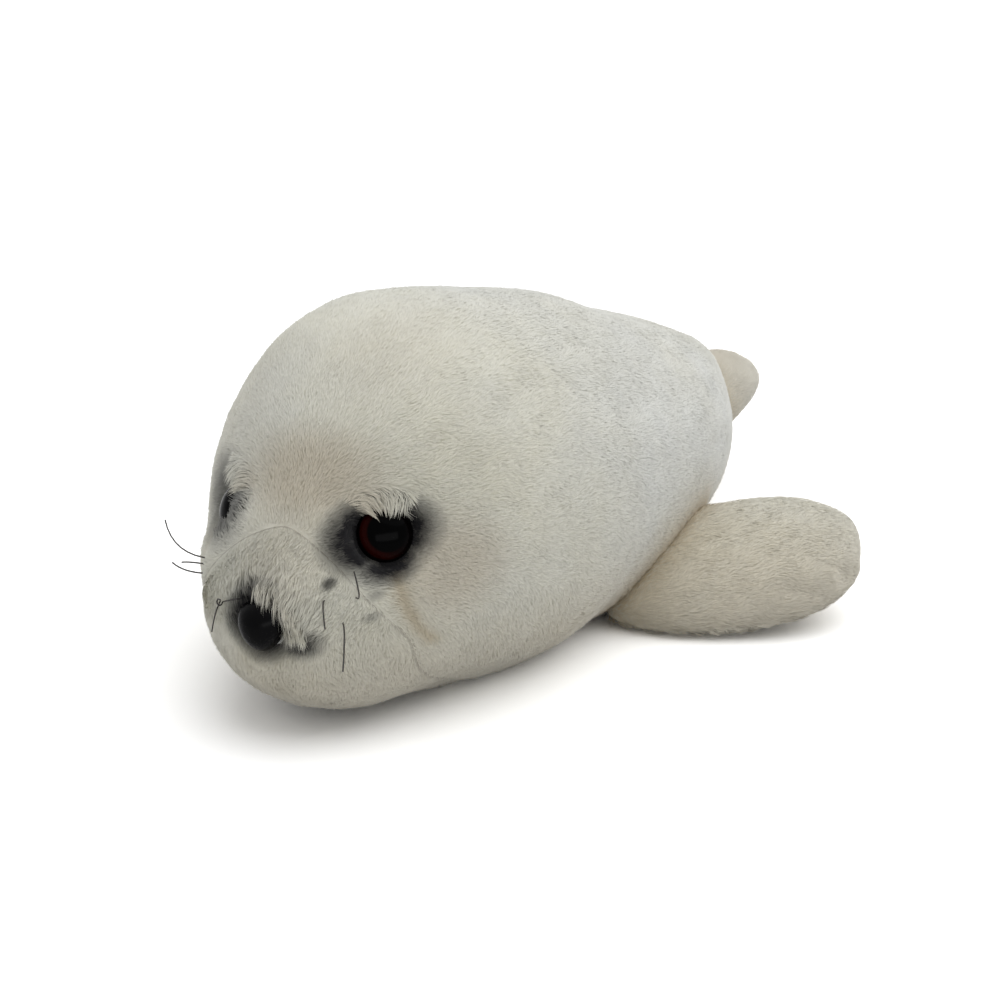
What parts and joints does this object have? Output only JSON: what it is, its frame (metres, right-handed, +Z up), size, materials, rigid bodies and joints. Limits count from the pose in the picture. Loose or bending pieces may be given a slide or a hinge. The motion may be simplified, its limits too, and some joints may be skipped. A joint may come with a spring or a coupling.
{
  "type": "plush seal",
  "caption": "Plush seal pup lying on its belly: stuffed white pile body, padded front and hind flippers, domed plastic eyes, plastic nose and nylon whiskers",
  "frame": {"origin": "on the floor, at the middle of the flat underside of the belly", "axes": "the seal faces -Y, its left side is +X and +Z is up"},
  "size_m": [0.2622, 0.3462, 0.1268],
  "materials": {
    "plush": "short dense creamy white pile, brushed back from the face",
    "eye_plastic": "polished clear dome over a dark brown iris and a black pupil",
    "nose_plastic": "glossy black moulded plastic",
    "washer_plastic": "plain white moulded plastic",
    "whisker_nylon": "stiff black nylon bristle, half a millimetre thick"
  },
  "bodies": {
    "root": {"body": "plush", "flipper_front_left": "plush", "flipper_front_right": "plush", "flipper_hind_left": "plush", "flipper_hind_right": "plush", "eye_left": "eye_plastic", "eye_right": "eye_plastic", "nose": "nose_plastic", "eye_washer_left": "washer_plastic", "eye_washer_right": "washer_plastic", "nose_washer": "washer_plastic", "whisker_left_1": "whisker_nylon", "whisker_left_2": "whisker_nylon", "whisker_left_3": "whisker_nylon", "whisker_right_1": "whisker_nylon", "whisker_right_2": "whisker_nylon", "whisker_right_3": "whisker_nylon", "whisker_looped": "whisker_nylon"}
  },
  "joints": []
}
